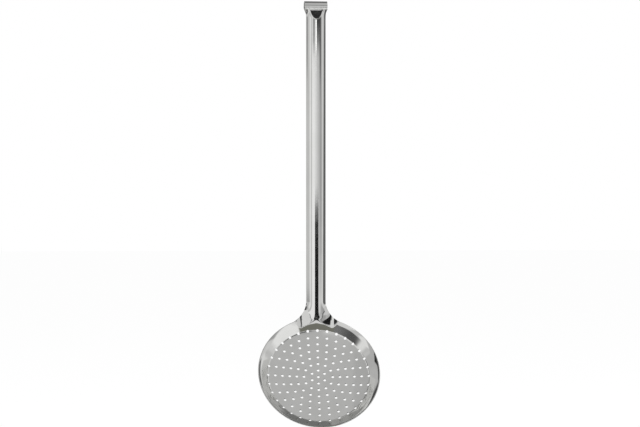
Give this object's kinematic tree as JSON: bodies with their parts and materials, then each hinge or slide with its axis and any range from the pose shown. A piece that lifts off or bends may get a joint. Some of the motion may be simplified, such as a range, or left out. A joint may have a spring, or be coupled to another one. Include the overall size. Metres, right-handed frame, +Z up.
{
  "type": "kitchen skimmer",
  "caption": "One-piece pressed steel skimmer: a shallow perforated round bowl set at an angle on a long rounded channel handle that ends in a flat hook for a rail.",
  "frame": {"origin": "centre of the hook's bend, on the axis of the rail that it hangs from, in the middle of the strip's width", "axes": "+Z up along the handle to the hook, +X to the right as seen from the hollow side of the bowl, +Y to the back, so the bowl opens towards -Y and up"},
  "size_m": [0.12, 0.0856, 0.419],
  "materials": {
    "stainless_steel": "polished"
  },
  "bodies": {
    "root": {"strainer_floor": "stainless_steel", "bowl_wall": "stainless_steel", "neck": "stainless_steel", "handle": "stainless_steel", "hook_shoulder": "stainless_steel", "hanging_hook": "stainless_steel"}
  },
  "joints": []
}
